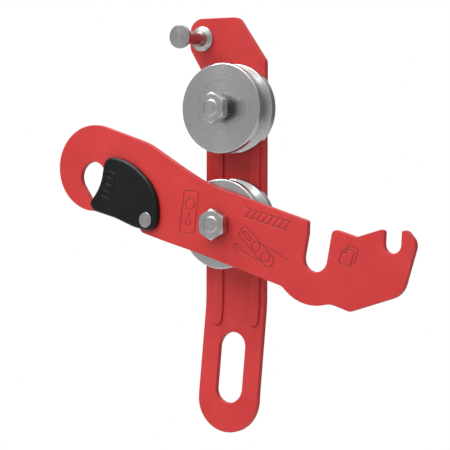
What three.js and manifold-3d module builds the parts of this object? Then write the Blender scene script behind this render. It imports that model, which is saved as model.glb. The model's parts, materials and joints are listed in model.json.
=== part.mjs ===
// Two-bobbin rope friction device, opened: a fixed side plate carries two grooved bobbins on
// bolts, and a notched side plate with a spring gate is swung open about the lower bolt.
// Millimetres, +Z up the fixed side plate, +X right, front faces -Y. The origin is the centre
// of the carabiner slot. Everything is first laid out from the lower axle, at the front face
// of the fixed plate, where "height" means the distance in front of that face.

import * as THREE from "three";
import { mergeVertices } from "three/addons/utils/BufferGeometryUtils.js";
import Module from "manifold-3d";

const wasm = await Module();
wasm.setup();

// ---- Driving dimensions ----------------------------------------------------------------

const PLATE_THICKNESS = 3;
const AXLE_SPACING = 54.4; // lower axle to upper axle
const SLOT_DROP = 68.7; // lower axle down to the middle of the carabiner slot
const SLOT_HALF_LENGTH = 16.8;
const SLOT_RADIUS = 7.15;
const SLOT_CENTRE_X = -0.8;

const FIXED_LEFT_X = -17.2;
const FIXED_RIGHT_X = 15.2;
const FIXED_TOP_Z = 98.1;
const FIXED_BOTTOM_Z = -99.5;
const FIXED_BEND_START = 38.5; // below the lower axle the plate leans forward
const FIXED_BEND_END = 83.5;
const FIXED_BEND_OFFSET = 7;
const RIB_X = 10;
const RIB_WIDTH = 5.4;
const RIB_HEIGHT = 1.1;
const GROOVE_WIDTH = 3.4; // of the groove pressed behind each rib
const RIB_TOP_Z = 62;
const RIB_BOTTOM_Z = -48.8;

const BOBBIN_RADIUS = 21.25;
const BOBBIN_LENGTH = 15.6;
const FACE_GAP = 0.05; // clearance between faces that rest on each other
const BOLT_RADIUS = 3.95;
const BOLT_HOLE_RADIUS = 4.05;
const BOLT_TIP_PROUD = 0.5;
const HEX_ACROSS_FLATS = 13;
const HEX_CHAMFER = 0.9;
const BOLT_HEAD_LENGTH = 5.3;
const NUT_LENGTH = 4.7;
const REAR_WASHER_RADIUS = 8;
const REAR_WASHER_LENGTH = 1.6;
const LOWER_NUT_FRONT = 24.4;
const UPPER_NUT_FRONT = 24.6;
const NECK_RADIUS = 5;
const PIVOT_BUSH_RADIUS = 5;
const RUNNING_CLEARANCE = 0.08;
const THRUST_WASHER_RADIUS = 8.5;
const LOCK_WASHER_RADIUS = 6.4;

const STUD_X = -19.4;
const STUD_Z = 88.25;
const STUD_NECK_RADIUS = 3.2;
const STUD_HEAD_RADIUS = 5.55;
const STUD_HEAD_LENGTH = 1.7;
const STUD_HEAD_FRONT = 21.1;
const STUD_SHANK_RADIUS = 2.9;
const COLLAR_RADIUS = 6.05;
const COLLAR_LENGTH = 2.2;
const STUD_WASHER_RADIUS = 5.4;
const STUD_WASHER_LENGTH = 1;

const SWING_PLATE_REAR = 16; // height of the swinging plate's rear face
const ARM_ANGLE = 164.2; // direction of the hook arm in the open position, degrees
const ARM_BEND_START = 24; // along the arm from the axle, the plate leans back
const ARM_BEND_END = 80;
const ARM_BEND_OFFSET = 6.5;
const BIG_NOTCH = { x: 52.35, z: -14.8, radius: 6.1, lean: 10.8 };
const SMALL_NOTCH = { x: 91.05, z: -7.3, radius: 4.25, lean: 3 };

const RIVET_X = -38.8;
const RIVET_Z = 1.3;
const RIVET_RADIUS = 2.5;
const RIVET_HEAD_RADIUS = 3.7;
const RIVET_HEAD_LENGTH = 1;
const RIVET_TAIL_RADIUS = 3.3;
const RIVET_TAIL_LENGTH = 0.9;
const RIVET_WASHER_RADIUS = 4.4;
const RIVET_WASHER_LENGTH = 0.7;
const CHEEK_LENGTH = 2.6; // thickness of each gate cheek
const CHEEK_GAP = 0.3; // between the plate and each cheek
const SPRING_WIRE_RADIUS = 0.4;
const SPRING_COIL_RADIUS = 3.7;
const SPRING_POCKET_DEPTH = 1.4;

const ROUND_STEPS = 32; // facets round a small turned piece
const BOBBIN_STEPS = 48;
const CLEAR_BELOW = -10; // heights that a cutting prism runs between, clear of the fixed plate
const CLEAR_ABOVE = 20;

// ---- Solids ----------------------------------------------------------------------------

function toSolid(geometry) {
  const bare = geometry.index ? geometry.toNonIndexed() : geometry.clone();
  bare.deleteAttribute("normal");
  bare.deleteAttribute("uv");
  const merged = mergeVertices(bare, 1e-4);
  return new wasm.Manifold(new wasm.Mesh({
    numProp: 3,
    vertProperties: new Float32Array(merged.attributes.position.array),
    triVerts: new Uint32Array(merged.index.array),
  }));
}

function toGeometry(solid) {
  const mesh = solid.getMesh();
  const geometry = new THREE.BufferGeometry();
  geometry.setAttribute("position", new THREE.BufferAttribute(mesh.vertProperties, 3));
  geometry.setIndex(new THREE.BufferAttribute(mesh.triVerts, 1));
  return geometry;
}

// Points of a closed outline whose corners [x, z, radius] are rounded by tangent arcs.
function roundedOutline(corners) {
  const points = [];
  corners.forEach(([x, z, radius], i) => {
    const [px, pz] = corners[(i + corners.length - 1) % corners.length];
    const [nx, nz] = corners[(i + 1) % corners.length];
    const corner = new THREE.Vector2(x, z);
    const into = new THREE.Vector2(x - px, z - pz).normalize();
    const out = new THREE.Vector2(nx - x, nz - z).normalize();
    const turn = Math.atan2(into.cross(out), into.dot(out));
    const side = Math.sign(turn);
    const setback = radius * Math.tan(Math.abs(turn) / 2);
    const start = corner.clone().addScaledVector(into, -setback);
    const centre = start.clone().add(new THREE.Vector2(-into.y, into.x).multiplyScalar(side * radius));
    const arm = start.clone().sub(centre);
    const stepAngle = THREE.MathUtils.degToRad(radius > 5 ? 9 : 20);
    const steps = Math.max(1, Math.ceil(Math.abs(turn) / stepAngle));
    for (let k = 0; k <= steps; k += 1) {
      const spoke = arm.clone().rotateAround(new THREE.Vector2(), (turn * k) / steps);
      points.push(centre.clone().add(spoke));
    }
  });
  return points.filter((p, i) => p.distanceTo(points[(i + 1) % points.length]) > 1e-3);
}

function circleOutline(x, z, radius, steps) {
  return Array.from({ length: steps }, (_, k) => {
    const angle = (2 * Math.PI * k) / steps;
    return new THREE.Vector2(x + radius * Math.cos(angle), z + radius * Math.sin(angle));
  });
}

// A slot of two half circles, one above the other.
function slotOutline(x, z, radius, halfLength) {
  const end = halfLength - radius;
  const half = (zEnd, from) => Array.from({ length: 15 }, (_, k) => {
    const angle = from + (Math.PI * k) / 14;
    return new THREE.Vector2(x + radius * Math.cos(angle), zEnd + radius * Math.sin(angle));
  });
  return [...half(z + end, 0), ...half(z - end, Math.PI)];
}

// An outline in X and Z made into a solid between two heights in front of the plane Y = 0.
function prism(outline, fromHeight, toHeight) {
  const geometry = new THREE.ExtrudeGeometry(new THREE.Shape(outline), {
    depth: toHeight - fromHeight,
    bevelEnabled: false,
  });
  geometry.rotateX(Math.PI / 2);
  geometry.translate(0, -fromHeight, 0);
  return toSolid(geometry);
}

// A turned solid: the profile's points are [radius, height], the axis runs along -Y.
function turned(profile, x, z, segments = ROUND_STEPS) {
  const points = [...profile, profile[0]].map(([r, h]) => new THREE.Vector2(r, h));
  const geometry = new THREE.LatheGeometry(points, segments);
  geometry.rotateX(Math.PI);
  geometry.translate(x, 0, z);
  return toSolid(geometry);
}

function disc(x, z, radius, fromHeight, toHeight, segments = ROUND_STEPS) {
  return turned([[0, fromHeight], [radius, fromHeight], [radius, toHeight], [0, toHeight]],
    x, z, segments);
}

function ring(x, z, inner, outer, fromHeight, toHeight, segments = ROUND_STEPS) {
  return turned([[inner, fromHeight], [outer, fromHeight], [outer, toHeight], [inner, toHeight]],
    x, z, segments);
}

// A hexagonal block with a corner at the top, its corners chamfered at the given end.
function hexBlock(x, z, fromHeight, toHeight, chamferAtFront) {
  const cornerRadius = HEX_ACROSS_FLATS / Math.sqrt(3);
  const outline = Array.from({ length: 6 }, (_, k) => {
    const angle = Math.PI / 2 + (Math.PI * k) / 3;
    return new THREE.Vector2(x + cornerRadius * Math.cos(angle), z + cornerRadius * Math.sin(angle));
  });
  const flat = HEX_ACROSS_FLATS / 2;
  const wide = cornerRadius + 0.2;
  const plain = chamferAtFront ? fromHeight : toHeight;
  const cut = chamferAtFront ? toHeight : fromHeight;
  const shoulder = cut + (chamferAtFront ? -HEX_CHAMFER : HEX_CHAMFER);
  const profile = [[0, plain], [wide, plain], [wide, shoulder], [flat, cut], [0, cut]];
  const envelope = turned(chamferAtFront ? profile : profile.reverse(), x, z, BOBBIN_STEPS);
  return prism(outline, fromHeight, toHeight).intersect(envelope);
}

// A strip of constant thickness whose front face steps from height a to height b between
// two distances along a direction in the XZ plane, used to give a flat outline its bend.
function bentStrip(directionDegrees, start, end, rearHeight, offset, reach) {
  const soften = 5;
  const slope = offset / (end - start);
  const front = [
    [-reach, 0],
    [start - soften, 0],
    [start, slope * soften * 0.25],
    [start + soften, slope * soften],
    [end - soften, offset - slope * soften],
    [end, offset - slope * soften * 0.25],
    [end + soften, offset],
    [reach, offset],
  ];
  const shape = new THREE.Shape([
    ...front.map(([s, h]) => new THREE.Vector2(s, rearHeight + h)),
    ...front.reverse().map(([s, h]) => new THREE.Vector2(s, rearHeight + PLATE_THICKNESS + h)),
  ]);
  const geometry = new THREE.ExtrudeGeometry(shape, { depth: 2 * reach, bevelEnabled: false });
  geometry.translate(0, 0, -reach);
  geometry.rotateX(Math.PI);
  geometry.rotateY(-THREE.MathUtils.degToRad(directionDegrees));
  return toSolid(geometry);
}

const group = new THREE.Group();
const assembly = new THREE.Group();
group.add(assembly);

function addMesh(name, solid, material, parent = assembly) {
  const mesh = new THREE.Mesh(toGeometry(solid), new THREE.MeshStandardMaterial(material));
  mesh.name = name;
  parent.add(mesh);
}

const redPaint = { color: 0xd4423f, roughness: 0.38, metalness: 0.25 };
const turnedSteel = { color: 0x9a9a9a, roughness: 0.32, metalness: 1 };
const plainSteel = { color: 0xa5a5a3, roughness: 0.35, metalness: 1 };
const blackPlastic = { color: 0x242625, roughness: 0.4, metalness: 0 };

// ---- Fixed side plate ------------------------------------------------------------------

const ribOutline = (x, width) => slotOutline(
  x,
  (RIB_TOP_Z + RIB_BOTTOM_Z) / 2,
  width / 2,
  (RIB_TOP_Z - RIB_BOTTOM_Z) / 2,
);

function fixedSidePlate() {
  const endRadius = (FIXED_RIGHT_X - FIXED_LEFT_X) / 2;
  const outline = roundedOutline([
    [-26.4, FIXED_TOP_Z, 6.8],
    [-26.4, 83.4, 6],
    [FIXED_LEFT_X, 68.4, 6],
    [FIXED_LEFT_X, FIXED_BOTTOM_Z, endRadius],
    [FIXED_RIGHT_X, FIXED_BOTTOM_Z, endRadius],
    [FIXED_RIGHT_X, 77, 3],
    [0.4, FIXED_TOP_Z, 5],
  ]);
  const strip = bentStrip(-90, FIXED_BEND_START, FIXED_BEND_END,
    -PLATE_THICKNESS, FIXED_BEND_OFFSET, 130);
  // The ribs follow the bend: the plate's own strip, moved forward and trimmed to the rib
  // outline, and the groove pressed behind each rib is the strip moved back.
  const raised = strip.translate([0, -RIB_HEIGHT, 0]);
  const behind = strip.translate([0, PLATE_THICKNESS - RIB_HEIGHT, 0]);
  let plate = prism(outline, CLEAR_BELOW, CLEAR_ABOVE).intersect(strip);
  for (const x of [-RIB_X, RIB_X]) {
    const rib = prism(ribOutline(x, RIB_WIDTH), CLEAR_BELOW, CLEAR_ABOVE).intersect(raised);
    const groove = prism(ribOutline(x, GROOVE_WIDTH), CLEAR_BELOW, CLEAR_ABOVE)
      .intersect(behind);
    plate = plate.add(rib).subtract(groove);
  }
  const slot = slotOutline(SLOT_CENTRE_X, -SLOT_DROP, SLOT_RADIUS, SLOT_HALF_LENGTH);
  plate = plate.subtract(prism(slot, CLEAR_BELOW, CLEAR_ABOVE));
  for (const z of [0, AXLE_SPACING]) {
    plate = plate.subtract(disc(0, z, BOLT_HOLE_RADIUS, CLEAR_BELOW, CLEAR_ABOVE));
  }
  return plate.subtract(disc(STUD_X, STUD_Z, STUD_SHANK_RADIUS + RUNNING_CLEARANCE,
    CLEAR_BELOW, CLEAR_ABOVE));
}

addMesh("fixed_side_plate", fixedSidePlate(), redPaint);

// ---- Bobbins, bolts, nuts and washers ----------------------------------------------------

function bobbin(z) {
  const r = BOBBIN_RADIUS;
  const end = BOBBIN_LENGTH;
  const profile = [
    [BOLT_HOLE_RADIUS, FACE_GAP],
    [r - 0.7, FACE_GAP],
    [r, 0.75],
    [r, 3.3],
    [r - 0.6, 4.1],
    [14.2, 6.7],
    [13.3, 8],
    [14.2, 9.3],
    [r - 0.6, 11.9],
    [r, 12.6],
    [r, end - 1.3],
    [r - 0.4, end - 0.4],
    [r - 1.3, end],
    [BOLT_HOLE_RADIUS, end],
  ];
  let solid = turned(profile, 0, z, BOBBIN_STEPS);
  for (const x of [-RIB_X, RIB_X]) {
    solid = solid.subtract(prism(ribOutline(x, RIB_WIDTH + 0.8), -1, RIB_HEIGHT + 0.3));
  }
  return solid;
}

function bolt(z, tipHeight) {
  const headFront = -PLATE_THICKNESS - REAR_WASHER_LENGTH - 2 * FACE_GAP;
  const shank = turned([
    [0, headFront - 1],
    [BOLT_RADIUS, headFront - 1],
    [BOLT_RADIUS, tipHeight - 0.6],
    [BOLT_RADIUS - 0.6, tipHeight],
    [0, tipHeight],
  ], 0, z);
  return hexBlock(0, z, headFront - BOLT_HEAD_LENGTH, headFront, false).add(shank);
}

function nut(z, frontHeight) {
  return hexBlock(0, z, frontHeight - NUT_LENGTH, frontHeight, true)
    .subtract(disc(0, z, BOLT_HOLE_RADIUS, 0, 40));
}

function rearWasher(z) {
  const front = -PLATE_THICKNESS - FACE_GAP;
  return ring(0, z, BOLT_HOLE_RADIUS, REAR_WASHER_RADIUS, front - REAR_WASHER_LENGTH, front);
}

const swingPlateFront = SWING_PLATE_REAR + PLATE_THICKNESS;
const axles = [
  { name: "lower", z: 0, nutFront: LOWER_NUT_FRONT },
  { name: "upper", z: AXLE_SPACING, nutFront: UPPER_NUT_FRONT },
];
for (const { name, z, nutFront } of axles) {
  addMesh(`${name}_bobbin`, bobbin(z), turnedSteel);
  addMesh(`${name}_axle_bolt`, bolt(z, nutFront + BOLT_TIP_PROUD), plainSteel);
  addMesh(`${name}_axle_nut`, nut(z, nutFront), plainSteel);
  addMesh(`${name}_rear_washer`, rearWasher(z), plainSteel);
}

addMesh("upper_neck_bush", ring(0, AXLE_SPACING, BOLT_HOLE_RADIUS, NECK_RADIUS,
  BOBBIN_LENGTH + FACE_GAP, UPPER_NUT_FRONT - NUT_LENGTH - FACE_GAP), plainSteel);
addMesh("lower_pivot_bush", ring(0, 0, BOLT_HOLE_RADIUS, PIVOT_BUSH_RADIUS,
  BOBBIN_LENGTH + FACE_GAP, swingPlateFront + FACE_GAP), plainSteel);
addMesh("lower_thrust_washer", ring(0, 0, PIVOT_BUSH_RADIUS + RUNNING_CLEARANCE,
  THRUST_WASHER_RADIUS, BOBBIN_LENGTH + FACE_GAP, SWING_PLATE_REAR - FACE_GAP), plainSteel);
addMesh("lower_lock_washer", ring(0, 0, BOLT_HOLE_RADIUS, LOCK_WASHER_RADIUS,
  swingPlateFront + 2 * FACE_GAP, LOWER_NUT_FRONT - NUT_LENGTH - FACE_GAP), plainSteel);

// ---- Latch stud at the top of the fixed plate -------------------------------------------

function latchStud() {
  const r = STUD_HEAD_RADIUS;
  const under = STUD_HEAD_FRONT - STUD_HEAD_LENGTH;
  const tailFront = -PLATE_THICKNESS - STUD_WASHER_LENGTH - 2 * FACE_GAP;
  const tailRadius = STUD_SHANK_RADIUS + 1.3;
  return turned([
    [0, tailFront - 1.3],
    [tailRadius - 1, tailFront - 1.3],
    [tailRadius, tailFront - 0.5],
    [tailRadius, tailFront],
    [STUD_SHANK_RADIUS, tailFront],
    [STUD_SHANK_RADIUS, COLLAR_LENGTH + FACE_GAP],
    [STUD_NECK_RADIUS + 0.5, COLLAR_LENGTH + FACE_GAP],
    [STUD_NECK_RADIUS, COLLAR_LENGTH + 1.4],
    [STUD_NECK_RADIUS, under - 0.4],
    [STUD_NECK_RADIUS + 0.4, under],
    [r, under],
    [r, STUD_HEAD_FRONT - 0.4],
    [r - 0.4, STUD_HEAD_FRONT],
    [0, STUD_HEAD_FRONT],
  ], STUD_X, STUD_Z);
}

function studCollar() {
  const bore = STUD_SHANK_RADIUS + RUNNING_CLEARANCE;
  return turned([
    [bore, FACE_GAP],
    [COLLAR_RADIUS, FACE_GAP],
    [COLLAR_RADIUS, 0.9],
    [COLLAR_RADIUS - 0.7, 1.5],
    [STUD_NECK_RADIUS + 1.3, COLLAR_LENGTH - 0.3],
    [STUD_NECK_RADIUS + 0.7, COLLAR_LENGTH],
    [bore, COLLAR_LENGTH],
  ], STUD_X, STUD_Z);
}

addMesh("latch_stud", latchStud(), plainSteel);
addMesh("latch_stud_collar", studCollar(), plainSteel);
addMesh("latch_stud_rear_washer", ring(STUD_X, STUD_Z, STUD_SHANK_RADIUS + RUNNING_CLEARANCE,
  STUD_WASHER_RADIUS, -PLATE_THICKNESS - FACE_GAP - STUD_WASHER_LENGTH,
  -PLATE_THICKNESS - FACE_GAP), plainSteel);

// ---- Swinging side plate ------------------------------------------------------------------

const armAngle = THREE.MathUtils.degToRad(ARM_ANGLE);
const armDirection = new THREE.Vector2(Math.cos(armAngle), Math.sin(armAngle));
const armSlope = ARM_BEND_OFFSET / (ARM_BEND_END - ARM_BEND_START);

// The two corners at the round bottom of a notch that leans by a few degrees.
function notchCorners({ x, z, radius, lean }) {
  const angle = THREE.MathUtils.degToRad(lean);
  const up = new THREE.Vector2(Math.sin(angle), Math.cos(angle));
  const right = new THREE.Vector2(up.y, -up.x);
  return [-1, 1].map((side) => [
    x + radius * (side * right.x - up.x),
    z + radius * (side * right.y - up.y),
    radius,
  ]);
}

function swingPlateOutline() {
  const [bigLeft, bigRight] = notchCorners(BIG_NOTCH);
  const [smallLeft, smallRight] = notchCorners(SMALL_NOTCH);
  const hookRadius = 21.05;
  const eyeRadius = 7.6;
  return roundedOutline([
    // upper edge, from the hook to the big notch
    [-95.1, 54.4, hookRadius],
    [-40.1, 38.1, 45],
    [-5.6, 19, 60],
    [48.5, 2.4, 1.6],
    // big notch for the upper axle's neck
    [48.3, -3.4, 5],
    bigLeft,
    bigRight,
    [61.1, -0.9, 2.4],
    // shallow V between the notches, then the small notch for the stud
    [73.2, -4.5, 2.5],
    [87.2, -0.3, 1.6],
    smallLeft,
    smallRight,
    [95.65, -1, 1.2],
    [98.4, -1.2, 3],
    [103, -6.5, 6],
    // lower edge, back to the mouth of the hook
    [95.9, -30, 10],
    [69.8, -38.3, 2.5],
    [59.7, -35, 10],
    [45.8, -38.3, 21.5],
    [34.7, -27.8, 5],
    [-10, -13.8, 60],
    [-44, -4.6, 3.8],
    // inside of the hook: gate side, round eye, tip
    [-47, 6.3, 3],
    [-64.2, 22.2, 2],
    [-73.96, 31.98, eyeRadius],
    [-84.71, 22.88, eyeRadius],
    [-72, 5.1, 0.95],
    [-95.1, 5.1, hookRadius],
  ]);
}

// Places a group so that its plane Y = 0 is the leaning part of the swinging plate's front
// face, with the gate rivet's axis at its origin.
function placeOnArm(target) {
  const along = RIVET_X * armDirection.x + RIVET_Z * armDirection.y;
  const height = swingPlateFront - armSlope * (along - ARM_BEND_START);
  const outward = new THREE.Vector3(armSlope * armDirection.x, -1, armSlope * armDirection.y);
  target.quaternion.setFromUnitVectors(new THREE.Vector3(0, -1, 0), outward.normalize());
  target.position.set(RIVET_X, -height, RIVET_Z);
  target.updateMatrix();
  return target;
}

const armGroup = placeOnArm(new THREE.Group());
assembly.add(armGroup);

function swingingSidePlate() {
  const strip = bentStrip(ARM_ANGLE, ARM_BEND_START, ARM_BEND_END,
    SWING_PLATE_REAR, -ARM_BEND_OFFSET, 130);
  const rivetHole = disc(0, 0, RIVET_RADIUS + CHEEK_GAP, -8, 8)
    .transform(armGroup.matrix.toArray());
  return prism(swingPlateOutline(), 0, 30)
    .intersect(strip)
    .subtract(disc(0, 0, PIVOT_BUSH_RADIUS + RUNNING_CLEARANCE, 10, 25))
    .subtract(rivetHole);
}

addMesh("swinging_side_plate", swingingSidePlate(), redPaint);

// ---- Spring gate, in the arm's own plane with the rivet at the origin ---------------------

const cheekOutline = roundedOutline([
  [-26.7, 30.7, 5.4],
  [-12.2, 29.3, 32],
  [6.8, 14.4, 22],
  [6.9, -6.5, 6.3],
  [-8, -3.5, 8],
  [-20, 0.7, 20],
  [-33.4, 3.9, 2.6],
  [-36.2, 7.6, 1.8],
  [-29.2, 16.4, 20],
]);

// The web joins the cheeks along the mouth of the hook.
const webOutline = [
  [-30.8, 3.7], [-20, 1.1], [-12.6, -1.7], [-12.6, 0.3], [-20, 3.1], [-30.8, 5.7],
].map(([x, z]) => new THREE.Vector2(x, z)).reverse();

const frontInner = CHEEK_GAP;
const frontOuter = CHEEK_GAP + CHEEK_LENGTH;
const rearInner = -PLATE_THICKNESS - CHEEK_GAP;
const rearOuter = rearInner - CHEEK_LENGTH;

function safetyGate() {
  const pocket = SPRING_COIL_RADIUS + SPRING_WIRE_RADIUS + 0.3;
  const legSlot = [[-12, -1.2], [0, -1.2], [0, 1.2], [-12, 1.2]]
    .map(([x, z]) => new THREE.Vector2(x, z + SPRING_COIL_RADIUS));
  const pocketFloor = rearInner - SPRING_POCKET_DEPTH;
  return prism(cheekOutline, frontInner, frontOuter)
    .add(prism(cheekOutline, rearOuter, rearInner))
    .add(prism(webOutline, rearOuter + 0.5, frontOuter - 0.5))
    .subtract(disc(0, 0, RIVET_RADIUS + RUNNING_CLEARANCE, -20, 20))
    .subtract(disc(0, 0, RIVET_HEAD_RADIUS + 0.25, frontOuter - 0.8, frontOuter + 1))
    .subtract(disc(0, 0, pocket, pocketFloor, rearInner + 0.1))
    .subtract(prism(legSlot, pocketFloor, rearInner + 0.1));
}

function gateRivet() {
  const headRear = frontOuter - 0.8 + FACE_GAP;
  const tailFront = rearOuter - RIVET_WASHER_LENGTH - 2 * FACE_GAP;
  return turned([
    [0, tailFront - RIVET_TAIL_LENGTH],
    [RIVET_TAIL_RADIUS - 0.7, tailFront - RIVET_TAIL_LENGTH],
    [RIVET_TAIL_RADIUS, tailFront - 0.3],
    [RIVET_TAIL_RADIUS, tailFront],
    [RIVET_RADIUS, tailFront],
    [RIVET_RADIUS, headRear],
    [RIVET_HEAD_RADIUS, headRear],
    [RIVET_HEAD_RADIUS, headRear + RIVET_HEAD_LENGTH - 0.25],
    [RIVET_HEAD_RADIUS - 0.25, headRear + RIVET_HEAD_LENGTH],
    [0, headRear + RIVET_HEAD_LENGTH],
  ], 0, 0);
}

// One turn of wire round the rivet, with a straight leg that pushes on the gate.
function gateSpring() {
  const height = rearInner - SPRING_POCKET_DEPTH / 2;
  const coil = Array.from({ length: 19 }, (_, k) => {
    const angle = Math.PI / 2 - (Math.PI * 1.75 * (18 - k)) / 18;
    return new THREE.Vector3(SPRING_COIL_RADIUS * Math.cos(angle), -height,
      SPRING_COIL_RADIUS * Math.sin(angle));
  });
  const leg = [-3, -6, -9].map((x) => new THREE.Vector3(x, -height, SPRING_COIL_RADIUS));
  const path = new THREE.CatmullRomCurve3([...coil, ...leg]);
  const section = new THREE.Shape(circleOutline(0, 0, SPRING_WIRE_RADIUS, 8));
  const geometry = new THREE.ExtrudeGeometry(section, { steps: 44, extrudePath: path });
  return toSolid(geometry);
}

addMesh("safety_gate", safetyGate(), blackPlastic, armGroup);
addMesh("gate_rivet", gateRivet(), plainSteel, armGroup);
addMesh("gate_rivet_washer", ring(0, 0, RIVET_RADIUS + RUNNING_CLEARANCE, RIVET_WASHER_RADIUS,
  rearOuter - FACE_GAP - RIVET_WASHER_LENGTH, rearOuter - FACE_GAP), plainSteel, armGroup);
addMesh("gate_spring", gateSpring(), plainSteel, armGroup);

// The layout's zero moves to the middle of the carabiner slot, half way through the plate.
const slotFrontHeight = (FIXED_BEND_OFFSET * (SLOT_DROP - FIXED_BEND_START))
  / (FIXED_BEND_END - FIXED_BEND_START);
assembly.position.set(-SLOT_CENTRE_X, slotFrontHeight - PLATE_THICKNESS / 2, SLOT_DROP);

export default group;
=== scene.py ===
"""Looks of a two-bobbin rope descender, opened: a fixed side plate with two grooved bobbins on
bolts, a notched side plate swung open about the lower bolt, and a spring gate on its hook.

Shapes are laid out in millimetres from the lower axle: x to the right, z up, and height, the
distance in front of the fixed plate's front face. A piece's own mesh holds (x, -height, z)."""

import json
import math

import bpy
import numpy as np
from mathutils import Matrix, Vector
from mathutils.geometry import delaunay_2d_cdt


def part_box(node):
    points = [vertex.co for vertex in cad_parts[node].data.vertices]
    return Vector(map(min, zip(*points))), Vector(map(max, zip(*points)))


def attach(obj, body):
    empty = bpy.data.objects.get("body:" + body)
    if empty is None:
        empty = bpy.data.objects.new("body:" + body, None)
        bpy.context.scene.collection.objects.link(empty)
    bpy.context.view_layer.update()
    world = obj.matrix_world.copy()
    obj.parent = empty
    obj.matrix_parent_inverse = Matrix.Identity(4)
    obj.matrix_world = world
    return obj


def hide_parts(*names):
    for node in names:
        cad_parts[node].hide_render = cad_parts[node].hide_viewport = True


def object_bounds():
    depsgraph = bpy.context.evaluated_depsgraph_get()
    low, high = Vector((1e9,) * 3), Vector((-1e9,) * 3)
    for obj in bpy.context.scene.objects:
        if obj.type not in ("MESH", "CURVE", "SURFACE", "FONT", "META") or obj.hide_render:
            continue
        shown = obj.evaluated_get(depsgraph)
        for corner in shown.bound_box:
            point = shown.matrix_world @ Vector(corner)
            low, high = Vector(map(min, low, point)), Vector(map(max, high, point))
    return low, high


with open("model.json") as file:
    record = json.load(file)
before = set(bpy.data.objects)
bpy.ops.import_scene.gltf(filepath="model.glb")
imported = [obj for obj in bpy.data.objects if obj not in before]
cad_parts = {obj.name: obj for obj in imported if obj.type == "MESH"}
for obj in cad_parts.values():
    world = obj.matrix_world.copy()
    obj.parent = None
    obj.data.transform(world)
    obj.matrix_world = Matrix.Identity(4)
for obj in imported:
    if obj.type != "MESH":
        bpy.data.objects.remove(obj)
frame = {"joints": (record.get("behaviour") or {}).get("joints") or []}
cad_low, cad_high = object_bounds()

MM = 0.001

# ---- Dimensions, millimetres and degrees -----------------------------------------------------

PLATE_THICKNESS = 3.0
PLATE_EDGE = 0.3  # rounding along the plates' edges
AXLE_SPACING = 54.4
SLOT_X, SLOT_Z, SLOT_RADIUS, SLOT_HALF_LENGTH = -0.8, -68.7, 7.15, 16.8
FIXED_BEND = {"start": 38.5, "end": 83.5, "offset": 7.0}
RIB_X, RIB_TOP_Z, RIB_BOTTOM_Z = 10.0, 62.0, -48.8
RIB_HEIGHT = 1.1
RIB_FOOT, RIB_CREST = 2.85, 2.4  # distances from the rib's middle
GROOVE_LIP, GROOVE_FLOOR = 2.0, 1.2  # the same for the pressed groove behind it
CREASE_WIDTH, CREASE_SHADE = 0.45, 0.6  # painted shade: dark red painted along the rib's foot, standing in for the shade in the crease
STUD_X, STUD_Z, STUD_HOLE_RADIUS = -19.4, 88.25, 3.0

BORE = 4.1
PIVOT_HOLE_RADIUS = 5.08  # the swinging plate's hole, round its bush
BOBBIN_RADIUS, BOBBIN_LENGTH = 21.25, 15.6
FACE_GAP = 0.05
SWING_REAR = 16.0
ARM_ANGLE = 164.2
ARM_BEND = {"start": 24.0, "end": 80.0, "offset": 6.5}
BEND_SOFTENING = 5.0

HEX_FLAT = 6.5  # half the distance across flats
HEX_FACE_RADIUS = 6.42
HEX_CHAMFER_SLOPE = math.tan(math.radians(30))

GATE_GAP, CHEEK_LENGTH = 0.3, 2.6
RIVET_X, RIVET_Z, RIVET_HOLE_RADIUS = -38.8, 1.3, 2.8
SPRING_RADIUS, SPRING_WIRE = 3.7, 0.4

STROKE_WIDTH, STROKE_DEPTH = 0.8, 0.25

# ---- Placing ---------------------------------------------------------------------------------

bolt_low, bolt_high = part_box("lower_axle_bolt")
AXLE = Vector((
    (bolt_low.x + bolt_high.x) / 2,
    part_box("lower_bobbin")[1].y + FACE_GAP * MM,
    (bolt_low.z + bolt_high.z) / 2,
))


def at(x=0.0, z=0.0):
    """The matrix of a piece whose own origin is over (x, z) at the fixed plate's front face."""
    return Matrix.Translation(AXLE + Vector((x, 0, z)) * MM)


def on_gate():
    """The matrix of the leaning arm's front face, with the gate's pivot at its origin."""
    hinge = next(j for j in frame["joints"] if j["child"] == "gate")
    outward = -Vector(hinge["axis"]).normalized()
    turn = Vector((0, -1, 0)).rotation_difference(outward).to_matrix().to_4x4()
    return Matrix.Translation(Vector(hinge["pos_m"])) @ turn


GATE_PLACE = on_gate()

# ---- Outlines --------------------------------------------------------------------------------


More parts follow.
